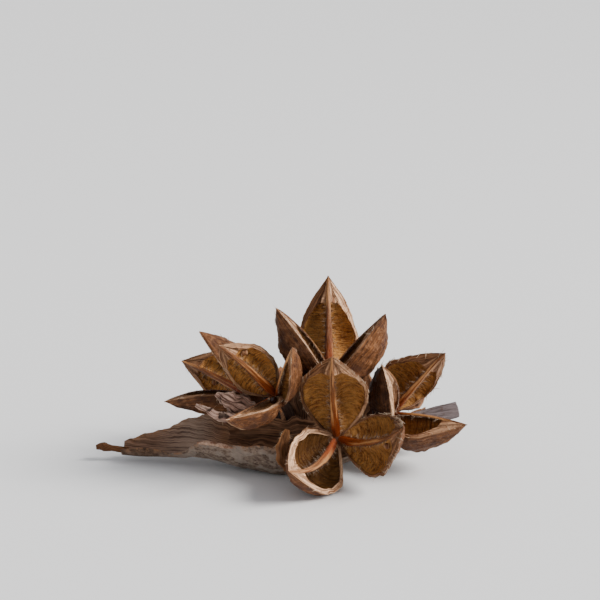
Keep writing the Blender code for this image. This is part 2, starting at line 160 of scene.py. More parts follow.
# Slimmer behind the knob than the part's solid.
BEAK_RADII = (1.7, 3.4, 2.1, 2.3, 2.6)
SPATHE_STATIONS, STALK_STATIONS, BLADE_STATIONS = 26, 12, 10
BLADES = {
    "bract_upper": {
        "line": ((-17, 3, 42), (-25, -3, 48), (-35, -10, 54), (-43, -12, 59)),
        "halves": (2.5, 7, 7, 1.5), "width": (0, -0.3, 1),
        "purple": 1.0, "brown": 0.0, "fray": 10,
    },
    "bract_lower": {
        "line": ((-15, -1, 38), (-27, -10, 41), (-41, -15, 45), (-56, -14, 52)),
        "halves": (2.5, 4, 3.2, 1.2), "width": (0, -0.3, 1),
        "purple": 1.0, "brown": 0.0, "fray": 14,
    },
    "bract_inner": {
        "line": ((-36, 16, 22), (-16, 7, 25), (2, 2, 26), (22, 7, 26)),
        "halves": (5, 11, 11, 9), "width": (0, 0.25, 1),
        "purple": 0.0, "brown": 0.25, "fray": 6,
    },
    "bract_middle": {
        "line": ((14, 23, 27), (14, 24, 40), (13, 26, 52), (11, 29, 65)),
        "halves": (6, 12, 10, 3), "width": (1, 0.2, 0),
        "purple": 0.1, "brown": 0.3, "fray": 8,
    },
    "bract_right": {
        "line": ((53, 22, 31), (53, 20, 38), (52, 19, 46), (51, 20, 54)),
        "halves": (3, 6, 6, 2), "width": (1, 0.2, 0),
        "purple": 0.0, "brown": 0.3, "fray": 4,
    },
    "bract_front": {
        "line": ((4, -21, 10), (1, -24, 20), (1, -25, 30), (4, -23, 38)),
        "halves": (2.5, 4.5, 4.5, 1.5), "width": (1, 0.4, 0),
        "purple": 0.0, "brown": 1.0, "fray": 26,
    },
}
# The pale strip rolled up along the bract's front edge.
ROLL_LINE = ((-56, -0.8, 21.2), (-50, -3.7, 22.4), (-44, -7, 22.6), (-38, -9.9, 22.2), (-32, -12.6, 21.6))
ROLL_RADII = (0.9, 1.6, 1.2, 1.6, 0.5)

# Where the painted shade under the fruits starts on the bract's inner side, and where its tip starts, in
# metres along it.
SHADE_FROM, SHADE_OVER = -0.055, 0.015
TIP_FROM, TIP_OVER = -0.064, 0.022

# How thin the sheets are at the rim and further in, and how far all pieces stay inside the part's box.
SPATHE_WALL, BLADE_WALL = (0.0005, 0.0014), (0.0003, 0.0008)
INSET = 1e-5

# Fineness of the pieces. Shares run along each part of a valve's section.
HEART_STATIONS, CUP_STATIONS, BEAK_STATIONS = 7, 80, 32
RIDGE_SHARES = np.array((0.0, 0.25, 0.5, 0.72, 0.88, 1.0))
CUP_SHARES = 0.5 - 0.5 * np.cos(np.linspace(0, math.pi, 24))[1:-1]
BAND_SHARES = np.array((0.0, 0.16, 0.36, 0.55, 0.75, 0.9, 1.0))
BACK_SHARES = np.linspace(1, 0, 16)[1:]
RIDGE_COLUMN = len(RIDGE_SHARES) - 1
CUP_COLUMN = len(RIDGE_SHARES) + 2
RIM_COLUMN = CUP_COLUMN + len(CUP_SHARES) + len(BAND_SHARES) - 1
RIDGE_FIBRES, RIM_FIBRES, FIBRE_SECTIONS = 70, 60, 5
SPATHE_COUNT, SPATHE_STEPS = 300, 34
BLADE_ROWS, BLADE_COLUMNS = 80, 36
STALK_COUNT, STALK_SIDES = 200, 64
BRANCH_COUNT, BRANCH_SIDES = 60, 32
ROLL_COUNT, BEAK_COUNT, CURVE_STEPS = 60, 70, 24

# The setting: tones, light strengths, and the camera that stands where the photo's did.
FLOOR_SIZE = 60
FLOOR_TONE = 0.86
SKY_COLOUR, SKY_STRENGTH = (0.93, 0.95, 1.0), 0.56
KEY_COLOUR, KEY_STRENGTH = (1.0, 0.98, 0.95), 4.7
KEY_WAY, KEY_SOFTNESS = (-1.3, 0.25, -1.1), 30
WASH_PLACE, WASH_AIM = (2.1, -0.2, 1.1), (0, 0, 0.05)
WASH_STRENGTH, WASH_SIZE = 22, 1.5
CAMERA_TARGET = (12, 0, 119)
CAMERA_DISTANCE, CAMERA_TILT = 1.3, 15
CAMERA_LENS, CAMERA_SENSOR, CAMERA_REACH = 120, 36, 100


# --- noise and grids ---


def lattice(i, seed):
    """A number from -1 to 1 for every whole-number point, mixed from its bits by large odd factors."""
    h = (i[..., 0] * 374761393 + i[..., 1] * 668265263 + i[..., 2] * 362437 + seed * 1274127) & 0xFFFFFFFF
    h = ((h ^ (h >> 13)) * 1274126177) & 0xFFFFFFFF
    h = ((h ^ (h >> 15)) * 2246822519) & 0xFFFFFFFF
    return ((h ^ (h >> 16)) & 0xFFFF) / 32767.5 - 1


def noise(points, seed, octaves=1):
    """Smooth noise from -1 to 1 at points whose unit is the size of its grain."""
    total = 0
    for octave in range(octaves):
        q = np.asarray(points, float) * 2.03**octave + 17.3 * octave
        i = np.floor(q).astype(np.int64)
        f = q - i
        f = f * f * (3 - 2 * f)
        value = 0
        for corner in range(8):
            c = np.array((corner & 1, corner >> 1 & 1, corner >> 2 & 1))
            weight = np.prod(np.where(c, f, 1 - f), axis=-1)
            value = value + weight * lattice(i + c, seed + 31 * octave)
        total = total + 0.5**octave * value
    return total


def grain(u, v, seed, octaves=1):
    """Noise over a surface's own two coordinates, given in grains."""
    return noise(np.stack(np.broadcast_arrays(u, v, 0.0 * u), axis=-1), seed, octaves)


def flat(value):
    """One value for every point of a grid."""
    return np.array([[value]])


def distances(line):
    """How far along the line each of its points is."""
    return np.concatenate([[0], np.cumsum(np.linalg.norm(np.diff(line, axis=0), axis=1))])


def spread(values, count):
    """count values, between the given ones, which are evenly spaced."""
    return np.interp(np.linspace(0, 1, count), np.linspace(0, 1, len(values)), values)


def smooth_line(points, count):
    """count points, evenly spaced, on a smooth curve through the given points, in metres."""
    p = np.array(points, float)
    p = np.vstack([2 * p[0] - p[1], p, 2 * p[-1] - p[-2]])
    fine = []
    for a, b, c, d in zip(p[:-3], p[1:-2], p[2:-1], p[3:]):
        for u in np.linspace(0, 1, CURVE_STEPS, endpoint=False):
            fine.append(0.5 * (2 * b + (c - a) * u + (2 * a - 5 * b + 4 * c - d) * u**2
                               + (3 * b - a - 3 * c + d) * u**3))
    fine.append(p[-2])
    fine = np.array(fine)
    along = distances(fine)
    wanted = np.linspace(0, along[-1], count)
    return np.stack([np.interp(wanted, along, fine[:, k]) for k in range(3)], axis=1) * MM


def unit(v):
    return v / np.maximum(np.linalg.norm(v, axis=-1, keepdims=True), 1e-12)


def grid_normals(grid, closed):
    """Outward normals of a grid whose second direction runs clockwise round the first."""
    along = np.gradient(grid, axis=0)
    if closed:
        around = np.roll(grid, -1, axis=1) - np.roll(grid, 1, axis=1)
    else:
        around = np.gradient(grid, axis=1)
    return unit(np.cross(along, around))


def grid_faces(rows, columns, closed, start=0):
    """The four corners of each face of a grid."""
    last = columns if closed else columns - 1
    j, k = np.meshgrid(np.arange(rows - 1), np.arange(last), indexing="ij")
    j, k = j.ravel(), k.ravel()
    after = (k + 1) % columns
    return start + np.stack([j * columns + k, (j + 1) * columns + k, (j + 1) * columns + after,
                             j * columns + after], axis=1)


class Shape:
    """Points, faces and the values per point that the materials read, gathered for one piece."""

    def __init__(self):
        self.points = []
        self.faces = []
        self.values = []
        self.count = 0

    def grid(self, points, closed, values, caps=True):
        rows, columns = points.shape[:2]
        self.faces += grid_faces(rows, columns, closed, self.count).tolist()
        if closed and caps:
            end = self.count + (rows - 1) * columns
            self.faces.append(list(range(self.count, self.count + columns)))
            self.faces.append(list(range(end, end + columns))[::-1])
        self.points.append(points.reshape(-1, 3))
        self.values.append({key: np.broadcast_to(value, (rows, columns) + np.shape(value)[2:])
                            for key, value in values.items()})
        self.count += rows * columns

    def finish(self, name, material, slot, replaced=None):
        points = np.vstack(self.points) - np.array((*MIDDLE, 0)) * MM
        low, high = np.array(CAD_BOX)
        points = np.clip(points, low + INSET, high - INSET)
        mesh = bpy.data.meshes.new(name)
        mesh.from_pydata(points.tolist(), [], self.faces)
        mesh.shade_smooth()
        for key in sorted({key for values in self.values for key in values}):
            size, kind, field = (3, "FLOAT_VECTOR", "vector") if key == "flow" else (1, "FLOAT", "value")
            data = [np.ravel(values.get(key, np.zeros(size * len(block))))
                    for block, values in zip(self.points, self.values)]
            data = np.concatenate(data).astype(np.float32)
            mesh.attributes.new(key, kind, "POINT").data.foreach_set(field, data)
        obj = bpy.data.objects.new(name, mesh)
        bpy.context.scene.collection.objects.link(obj)
        mesh.materials.append(material)
        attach(obj, "root")
        if replaced:
            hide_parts(replaced)
        return obj


# --- capsules ---


def half_width(t):
    """Distance of a valve's rim from its ridge line at t, as a share of its greatest."""
    past = 1 - (np.maximum(t - WIDEST_AT, 0) / (1 - WIDEST_AT)) ** 1.8
    before = 1 - (1 - HEART_WIDTH) * (np.maximum(WIDEST_AT - t, 0) / WIDEST_AT) ** 2.3
    return np.where(t > WIDEST_AT, past, before)


def cup_opening(t, cup_to):
    """How far open the seed chamber is at t: 1 along its middle, 0 past its rounded ends."""
    q = np.abs(2 * (t - CUP_FROM) / (cup_to - CUP_FROM) - 1)
    return np.sqrt(np.maximum(1 - np.minimum(q, 1) ** 2.3, 0))


def stations(cup_to):
    """Where a valve's sections are, as shares of its length: closest at the ends of its chambers."""
    cup = CUP_FROM + (cup_to - CUP_FROM) * (0.5 - 0.5 * np.cos(np.linspace(0, math.pi, CUP_STATIONS)))
    return np.concatenate([np.linspace(0, CUP_FROM, HEART_STATIONS)[:-1], cup,
                           np.linspace(cup_to, 1, BEAK_STATIONS)[1:]])


def pair(x, y):
    return np.stack([x, y], axis=-1)


def blend(share, shut, opened):
    """The first points where the share is 0, the second where it is 1."""
    return shut * (1 - share)[:, None] + opened * share[:, None]


class Section:
    """A valve's section at all its stations at once. Each half runs from the ridge line over the ridge
    strip, round the seed chamber, over the cut face and round the back. Its points have masks that say
    how far they belong to the ridge, the cut face and the chamber, and how much painted shade they get
    in the hollow of the chamber and along the ridge strip's edges and the rim's inner side."""

    def __init__(self, t, length, row, cup_to, fray, seed):
        _, width, wall, self.depth, third, _, _ = row
        self.third = math.radians(third)
        self.sine, self.cosine = math.sin(self.third), math.cos(self.third)
        self.zero = 0 * t
        width, self.wall = width * length, wall * MM
        along, kind = t * length, 0 * t + seed
        self.opened = cup_opening(t, cup_to)
        self.sharp = np.minimum(1, 2.5 * self.opened)
        self.edge = self.cosine * (1 - 0.4 * self.opened)
        self.ragged = 1 + 0.12 * grain(along / 0.0017, kind, 7, 3)
        # Distances from the ridge line along a cut face: to the rim, the end of the ridge strip, the inner
        # side of the wall, and the near and far side of the chamber's mouth.
        rim = np.maximum(half_width(t) * width, TIP_RADIUS) / self.sine
        rim = rim * (1 + (0.02 + 0.02 * fray) * grain(along / 0.0035, kind, 5, 4))
        ridge = np.minimum(RIDGE_HALF * (1 - 0.8 * t) * np.minimum(1, 0.6 + 3 * t), 0.3 * rim) / self.sine
        inner = np.maximum(rim - self.wall * (1 + 0.2 * grain(along / 0.006, kind, 6, 3)), 0.6 * rim)
        middle = 0.5 * (ridge + inner)
        share_open = np.maximum(self.opened, 0.2)
        self.near = middle - (middle - ridge * 1.12) * share_open
        self.far = middle + (inner - middle) * share_open
        self.rim, self.ridge, self.inner = rim, ridge, inner

    def on_face(self, r):
        """Points of the cut face at the distances r from the ridge line."""
        return pair(r * self.sine, -r * self.cosine)

    def put(self, points, ridge, band, cup, deep, across, fringe=0):
        same = np.broadcast_arrays(ridge, band, cup, deep, fringe, self.zero)
        self.points.append(points)
        self.masks.append(np.stack(same[:5], axis=-1))
        self.across.append(across + self.zero)

    def put_ridge(self, worn):
        ridge, edge, sharp = self.ridge, self.edge, self.sharp
        for share in RIDGE_SHARES:
            x = ridge * self.sine * share * (1 + (worn - 1) * share**4)
            y = 0.2 * ridge * (1 - share**2.5) - edge * ridge * share**3
            # Painted shade on the ridge strip's outer edge, where the chamber is open.
            self.put(pair(x, y), 1, 0, 0, 0, x, max(0.0, (share - 0.72) / 0.28) * self.opened)
        # The point under the ridge strip's overhang, with full painted shade where the chamber is open.
        under = pair(0.78 * ridge * self.sine, -(edge + 0.22) * ridge)
        under = blend(sharp, self.on_face(ridge * 1.03), under)
        self.put(under, 0.3, 1 - sharp, sharp, sharp, ridge, self.opened)

    def put_chamber(self):
        """The chamber's hollow, a curve with two handles from under the ridge strip to its far side."""
        ridge, inner, sharp = self.ridge, self.inner, self.sharp
        near, far = self.on_face(self.near), self.on_face(self.far)
        start = blend(sharp, near, pair(0.62 * ridge * self.sine, -(self.edge + 0.55) * ridge))
        dug = self.opened**0.8
        bottom = np.maximum(self.depth * self.rim - self.wall, 0.5 * self.rim)
        first = blend(dug, near, pair(-0.08 * inner, -1.12 * bottom))
        second = blend(dug, far, pair(0.66 * inner, -1.16 * bottom))
        for u in (0, *CUP_SHARES):
            w = 1 - u
            p = w**3 * start + 3 * u * w**2 * first + 3 * u * u * w * second + u**3 * far
            # Painted shade just under the ridge strip and just inside the rim.
            fringe = self.opened * max(0.0, 1 - u / 0.06, 0.7 * (u - 0.93) / 0.07)
            self.put(p, 0, 1 - sharp, sharp, sharp * w**0.8, u * inner * 1.6, fringe)

    def put_face(self):
        out = np.array((self.cosine, self.sine))
        for share in BAND_SHARES:
            r = self.far + (self.rim - self.far) * share
            lift = 0.3 * math.sin(math.pi * min(1, share / 0.3)) - 0.2 * math.sin(math.pi * share)
            self.put(self.on_face(r) + lift * MM * out, 0, 1, 0, 0, self.rim - r)

    def put_back(self):
        for share in BACK_SHARES:
            angle = self.third * share
            r = self.rim * (1 - (1 - self.depth) * (1 - share**2) ** 0.8)
            self.put(pair(r * math.sin(angle), -r * math.cos(angle)), 0, 0, 0, 0, self.rim * (1 - share))

    def half(self, sign):
        self.points, self.masks, self.across = [], [], []
        self.put_ridge(self.ragged if sign > 0 else 2 - self.ragged[::-1])
        self.put_chamber()
        self.put_face()
        self.put_back()
        points, masks, across = [np.stack(v, axis=1) for v in (self.points, self.masks, self.across)]
        return points * np.array((sign, 1)), masks, across * sign

    def whole(self):
        """Points, masks and distances from the ridge line, all the way round."""
        return [np.concatenate([right, left[:, 1:-1][:, ::-1]], axis=1)
                for right, left in zip(self.half(1), self.half(-1))]


def bent(section, t, length, bend, seed):
    """The section's points along the valve, with the valve's own lean, waves, twist and bend."""
    draw = random.Random(seed)
    lean = draw.uniform(-0.06, 0.06)
    twist = math.radians(draw.uniform(-9, 9))
    bow, sway = bend[0] * MM, bend[1] * MM + length * draw.uniform(-0.02, 0.02)
    phase = [draw.uniform(0, 2 * math.pi) for _ in range(4)]
    x, y = section[..., 0], section[..., 1]
    around = np.arctan2(x, -y)
    wave = 0.022 * np.sin(9 * t + 2 * around + phase[0]) + 0.016 * np.sin(17 * t - 3 * around + phase[1])
    x, y = x * (1 + wave + np.where(x > 0, lean, -lean)), y * (1 + wave)
    turn, arch = twist * (t - 0.4), 4 * t * (1 - t)
    return np.stack([x * np.cos(turn) - y * np.sin(turn) + sway * arch,
                     x * np.sin(turn) + y * np.cos(turn) + bow * arch,
                     t * length + 0 * x], axis=-1)


def relief(grid, masks, across, mark, cell, dents, seed):
    """How far the fine relief lifts each point, in millimetres: fibres, ribs, and the marks of the seeds."""
    ridge, band, cup = [masks[..., k] for k in range(3)]
    back = np.clip(1 - ridge - band - cup, 0, 1)
    v = grid[..., 2]
    lift = back * (0.42 * grain(across / 0.0018, v / 0.016, seed, 3)
                   + 0.5 * grain(across / 0.007, v / 0.011, seed + 1, 2))
    lift += band * 0.32 * grain(across / 0.0011, v / 0.009, seed + 2, 2)
    lift += ridge * 0.14 * grain(across / 0.0009, v / 0.012, seed + 3, 2)
    lift += cup * (0.24 * grain(across / 0.009, v / 0.0015, seed + 4, 2)
                   + 0.3 * grain(across / 0.003, v / 0.003, seed + 5, 2)
                   + 0.35 * grain(across / 0.008, v / 0.008, seed + 6, 1))
    lift += cup * dents * (0.55 * mark - 0.5 * cell)
    return lift


def valve(shape, length, row, cup_to, seed, place, look):
    """One valve of the given row of the table. Returns its points and where along it they are."""
    tone, dents, fray, pale_one, pale_other, chamber, husk = look
    t = stations(cup_to)
    section, masks, across = Section(t, length, row, cup_to, fray, seed).whole()
    grid = bent(section, t[:, None], length, row[5], seed)
    v = grid[..., 2]
    mark, cell = seed_marks(across, v, seed, length * cup_to)
    lift = relief(grid, masks, across, mark, cell, dents, seed)
    grid = grid + lift[..., None] * MM * grid_normals(grid, True)
    world = grid @ place[:, :3].T + place[:, 3]
    ridge, band, cup, deep, fringe = [masks[..., k] for k in range(5)]
    shape.grid(world, True, {
        "ridge": ridge, "band": band + husk * cup, "cup": (1 - husk) * cup, "deep": deep, "fringe": fringe,
        "tone": flat(tone), "chamber": flat(chamber), "share": t[:, None],
        "pale": np.where(across > 0, pale_one, pale_other),
        "mark": np.clip(dents * mark * cup, 0, 1), "cell": np.clip(dents * cell * cup, 0, 1),
        "flow": np.stack([across, v, 0 * v + 0.1 * seed], axis=-1),
    })
    return world, t


def seed_marks(across, v, seed, end):
    """The squarish marks that the seeds left, one after another along the cup: their outlines and cells."""
    step = 0.0072
    side = np.abs(across) / 0.0135
    row = (end - v) / step + 0.12 * grain(across / 0.01, v / 0.01, seed + 9) + 0.1
    within = np.abs(row - np.round(row)) * 2
    box = np.maximum(within / 0.84, np.abs(side - 0.66) / 0.36)
    box = box + 0.06 * grain(across / 0.002, v / 0.002, seed + 8)
    near = np.clip((4.2 - row) / 1.5, 0, 1) * np.clip(row / 0.4, 0, 1)
    wall = np.exp(-((box - 1) / 0.13) ** 2) * near
    cell = np.clip((1 - box) / 0.25, 0, 1) * near
    return wall, cell


def capsule_axis(plan):
    """A capsule's heart, its valves' beaks, and the way that the whole fruit faces."""
    heart = Vector(plan["heart"]) * MM
    beaks = [Vector(row[0]) * MM for row in plan["valves"]]
    return heart, beaks, sum(((b - heart).normalized() for b in beaks), Vector()).normalized()


def valve_place(heart, beak, axis, roll):
    """A valve's own directions as columns (across, inward, along) and its heart."""
    along = (beak - heart).normalized()
    inward = (axis - axis.dot(along) * along).normalized()
    inward.rotate(Matrix.Rotation(math.radians(roll), 3, along))
    across = inward.cross(along)
    return np.array([list(column) for column in (across, inward, along, heart)]).T


def ball(shape, centre, radius, rows, columns, values, seed, rough):
    angle = np.linspace(0, math.pi, rows)[:, None]
    round_ = -np.linspace(0, 2 * math.pi, columns, endpoint=False)[None, :]
    out = np.stack([np.sin(angle) * np.cos(round_), np.sin(angle) * np.sin(round_),
                    -np.cos(angle) + 0 * round_], axis=-1)
    grid = np.array(centre) + out * radius
    grid = grid + out * (rough * noise(grid / (0.5 * radius), seed, 3))[..., None]
    shape.grid(grid, True, {**values, "flow": grid})


def strand(shape, root, way, length, radius, sag, draw, values):
    """A thin curved fibre."""
    s = np.linspace(0, 1, FIBRE_SECTIONS)[:, None]
    kink = np.array([draw.uniform(-1, 1) for _ in range(3)])
    line = root + way * length * s + (np.array(sag) + 0.35 * kink * length) * s**2
    along = unit(np.gradient(line, axis=0))
    side = unit(np.cross(along, np.array((0.3, 0.5, 0.81))))
    other = np.cross(along, side)
    angle = -np.array((0, 2, 4)) * math.pi / 3
    taper = radius * (1 - 0.75 * s[:, :, None])
    ring = line[:, None] + taper * (np.cos(angle)[None, :, None] * side[:, None]
                                    + np.sin(angle)[None, :, None] * other[:, None])
    shape.grid(ring, True, values, caps=False)


def spot_on(world, t, share, column, side):
    """The point of a valve's grid at the share of its length, with the column counted from either side."""
    return world[int(np.searchsorted(t, share)), column if side > 0 else world.shape[1] - column]


def ridge_fibres(hair, world, t, side, place, cup_to, draw):
    """Short dark bristles and longer pale threads along the ridge strip's edge."""
    for _ in range(RIDGE_FIBRES):
        root = spot_on(world, t, draw.uniform(0.06, cup_to - 0.04), RIDGE_COLUMN, side)
        way = unit(side * place[:, 0] - draw.uniform(0.0, 0.8) * place[:, 1]
                   + draw.uniform(-0.5, 0.5) * place[:, 2])
        long = draw.random() < 0.4
        reach = draw.uniform(1.8, 4.2) if long else draw.uniform(0.7, 1.9)
        thick = draw.uniform(0.1, 0.15) if long else draw.uniform(0.18, 0.34)
        pale = draw.uniform(0.3, 0.9) if long else 0.12 * draw.random()
        strand(hair, root - 0.0002 * way, way, reach * MM, thick * MM, 0.0006 * place[:, 1], draw,
               {"pale": flat(pale)})


def rim_fibres(hair, world, t, side, place, fray, draw):
    """Torn threads that stand out along the rim."""
    for _ in range(int(RIM_FIBRES * fray)):
        root = spot_on(world, t, draw.uniform(0.15, 0.97), RIM_COLUMN, side)
        way = unit(side * draw.uniform(-0.6, 0.6) * place[:, 0] + draw.uniform(-0.2, 0.7) * place[:, 1]
                   + draw.choice((-1, 1)) * draw.uniform(0.4, 1.0) * place[:, 2])
        reach, thick = draw.uniform(1.2, 4.2), draw.uniform(0.14, 0.26)
        strand(hair, root - 0.0003 * way, way, reach * MM, thick * MM, 0.0004 * place[:, 1], draw,
               {"pale": flat(draw.uniform(0.4, 1.0))})


def lump(shape, world, t, place, share, side, u, size, seed):
    """What is left of a seed, on the wall of its chamber."""
    spot = spot_on(world, t, share, CUP_COLUMN + int(u * len(CUP_SHARES)), side)
    spot = spot + 0.3 * size * MM * place[:, 1]
    ball(shape, spot, size * MM, 14, 20,
         {"tone": flat(0.9), "share": flat(0.6), "band": flat(0.6), "pale": flat(0.8)}, seed + 70, 0.0003)


def capsule(name, plan, seed, shell, fibre):
    """A whole fruit: its heart, its three valves, and their fibres as a piece of their own."""
    heart, beaks, axis = capsule_axis(plan)
    shape, hair = Shape(), Shape()
    ball(shape, heart - 0.75 * HEART_RADIUS * axis, HEART_RADIUS * 0.98, 28, 40,
         {"tone": flat(0.25), "share": flat(0.0)}, seed, 0.0005)
    for k, beak in enumerate(beaks):
        *row, look = plan["valves"][k]
        place = valve_place(heart, beak, axis, row[6])
        world, t = valve(shape, (beak - heart).length, row, plan["cup_to"], 10 * seed + k, place, look)
        draw = random.Random(900 + 10 * seed + k)
        for side in (1, -1):
            ridge_fibres(hair, world, t, side, place, plan["cup_to"], draw)
            rim_fibres(hair, world, t, side, place, look[2], draw)
        for valve_number, *rest in plan.get("lumps", ()):
            if valve_number == k:
                lump(shape, world, t, place, *rest, seed)
    shape.finish("fine_" + name, shell, "capsule_shell", name)
    hair.finish("fibres_" + name, fibre, "capsule_shell")


def seed_left(glossy, fibre):
    """The dried seed that the left capsule still holds."""
    for name, (spot, radius), surface in (("seed", SEED, glossy), ("seed_grain", SEED_GRAIN, fibre)):
        shape = Shape()
        ball(shape, np.array(spot) * MM, radius * MM, 24, 32, {"pale": flat(1.0)}, 5, 0.00012 * radius)
        shape.finish(name, surface, "capsule_shell")


# --- stalk and bract ---


def sweep(line, radii, sides):
    """A round grid along a line, clockwise, and its coordinates round and along."""
    along = unit(np.gradient(line, axis=0))
    across = []
    last = np.array(Vector(along[0]).orthogonal())
    for a in along:
        last = unit(last - last.dot(a) * a)
        across.append(last)
    across = np.array(across)
    other = np.cross(along, across)
    angle = -np.linspace(0, 2 * math.pi, sides, endpoint=False)
    out = np.cos(angle)[None, :, None] * across[:, None] + np.sin(angle)[None, :, None] * other[:, None]
    travelled = distances(line)
    grid = line[:, None] + out * radii[:, None, None]
    turn = angle[None, :] * radii[:, None]
    return grid, out, turn, travelled[:, None] + 0 * turn


def bark(shape, line, radii, sides, seed, rough, values=None):
    """A round wrinkled length along a line."""
    grid, out, u, v = sweep(line, radii, sides)
    turn = u / radii[:, None]
    wrinkle = noise(np.stack([np.cos(turn) * 2.2, np.sin(turn) * 2.2, v / 0.014], axis=-1), seed, 4)
    grid = grid + out * (rough * (wrinkle - 0.45 * np.abs(wrinkle)))[..., None]
    shape.grid(grid, True, {**(values or {}), "flow": np.stack([u, v, 0 * v + seed], axis=-1)})


def stalk(wood):
    """The cut stalk and the short branches that carry the fruits."""
    shape = Shape()
    radii = spread(spread(STALK_RADII, STALK_STATIONS) * MM, STALK_COUNT)
    bark(shape, smooth_line(STALK_LINE, STALK_COUNT), radii * 0.97, STALK_SIDES, 3, 0.0007)
    for number, plan in enumerate(CAPSULES.values(), 1):
        heart, _, axis = capsule_axis(plan)
        foot = heart - 1.7 * HEART_RADIUS * axis
        top = heart - 0.6 * HEART_RADIUS * axis
        line = smooth_line((*plan["branch"], tuple(foot / MM), tuple(top / MM)), BRANCH_COUNT)
        thick = np.full(BRANCH_COUNT, BRANCH_RADIUS * 0.98)
        bark(shape, line, thick, BRANCH_SIDES, 10 + number, 0.0003, {"brown": flat(1.0)})
    shape.finish("fine_stalk", wood, "stalk", "stalk")


def two_sided(shape, grid, thickness, values, lift_out, lift_in):
    """A sheet with an outer and an inner side that meet at its edges."""
    normal = grid_normals(grid, False)
    half = 0.5 * thickness[..., None] * normal
    outer = grid + half + normal * lift_out[..., None]
    inner = grid - half - normal * lift_in[..., None]
    loop = np.concatenate([outer, inner[:, ::-1]], axis=1)
    both = {key: np.concatenate([value, value[:, ::-1]], axis=1) for key, value in values.items()}
    zero = np.zeros(grid.shape[:2])
    both.setdefault("inside", np.concatenate([zero, zero + 1], axis=1))
    shape.grid(loop, True, both)


def shaded(grid):
    """How much painted shade the bract's inner side gets: 0 in the open, 1 under the fruits."""
    return np.clip((grid[..., 0] - SHADE_FROM) / SHADE_OVER, 0, 1)


def spathe(bract):
    """The boat-shaped bract with its torn walls, the pale roll on its front edge and its beaked tip."""
    count, rungs = SPATHE_COUNT, np.linspace(0, 1, SPATHE_STEPS + 1)
    keel, back, front = [smooth_line(line, count) for line in (KEEL_LINE, BACK_EDGE, FRONT_EDGE)]
    draw = random.Random(3)
    torn = np.array([[1 + 0.05 * draw.uniform(-1, 1) for _ in range(2)] for _ in range(SPATHE_STATIONS)])
    along = unit(np.gradient(keel, axis=0))
    travelled = distances(keel)
    columns, across, rim = [], [], []
    for k, (edge, way) in enumerate(((back, 1), (front, -1))):
        rise = edge - keel
        out = unit(way * np.cross(rise, along))
        size = np.linalg.norm(rise, axis=1)
        jag = spread(torn[:, k], count)
        chips = grain(travelled / 0.0035, 0 * travelled + k, 21, 4)
        bites = np.clip(grain(travelled / 0.007, 0 * travelled + k, 22, 2) - 0.35, 0, 1)
        jag = jag * (1 + 0.03 * chips - 0.05 * bites)
        wall = []
        for v in rungs:
            bulge = 0.16 * size * math.sin(math.pi * v**0.8)
            wall.append(keel + rise * (v * jag)[:, None] + out * bulge[:, None])
        wall = np.stack(wall, axis=1)
        length = size[:, None] * rungs[None, :]
        closeness = size[:, None] - length
        order = slice(None, None, -1) if way > 0 else slice(1, None)
        columns.append(wall[:, order])
        across.append(way * length[:, order])
        rim.append(closeness[:, order])
    grid, across, rim = [np.concatenate(halves, axis=1) for halves in (columns, across, rim)]
    v = travelled[:, None] + 0 * across
    thickness = np.clip(SPATHE_WALL[0] + rim * 0.25, *SPATHE_WALL)
    fibre = grain(across / 0.0014, v / 0.03, 31, 2)
    plates = grain(across / 0.004, v / 0.007, 32, 4)
    crease = grain(across / 0.006, v / 0.06, 33, 2)
    shape = Shape()
    two_sided(shape, grid, thickness,
              {"flow": np.stack([across, v, 0 * v], axis=-1), "rim": np.exp(-rim / 0.0022),
               "tip": np.clip((TIP_FROM - grid[..., 0]) / TIP_OVER, 0, 1),
               "dim": shaded(grid),
               "plates": np.clip(0.5 + plates, 0, 1)},
              0.00012 * fibre + 0.0004 * np.where(plates > 0.1, 1, 0.2) * plates,
              0.00012 * fibre + 0.00012 * crease)
    roll, radii = smooth_line(ROLL_LINE, ROLL_COUNT), spread(ROLL_RADII, ROLL_COUNT) * MM
    bark(shape, roll, radii, 24, 44, 0.0003, {"pale": flat(1.0)})
    beak, radii = smooth_line(BEAK_LINE, BEAK_COUNT), spread(BEAK_RADII, BEAK_COUNT) * MM
    bark(shape, beak, radii * 0.9, 40, 40, 0.0006, {"brown": flat(1.0)})
    shape.finish("fine_spathe", bract, "bract", "spathe")


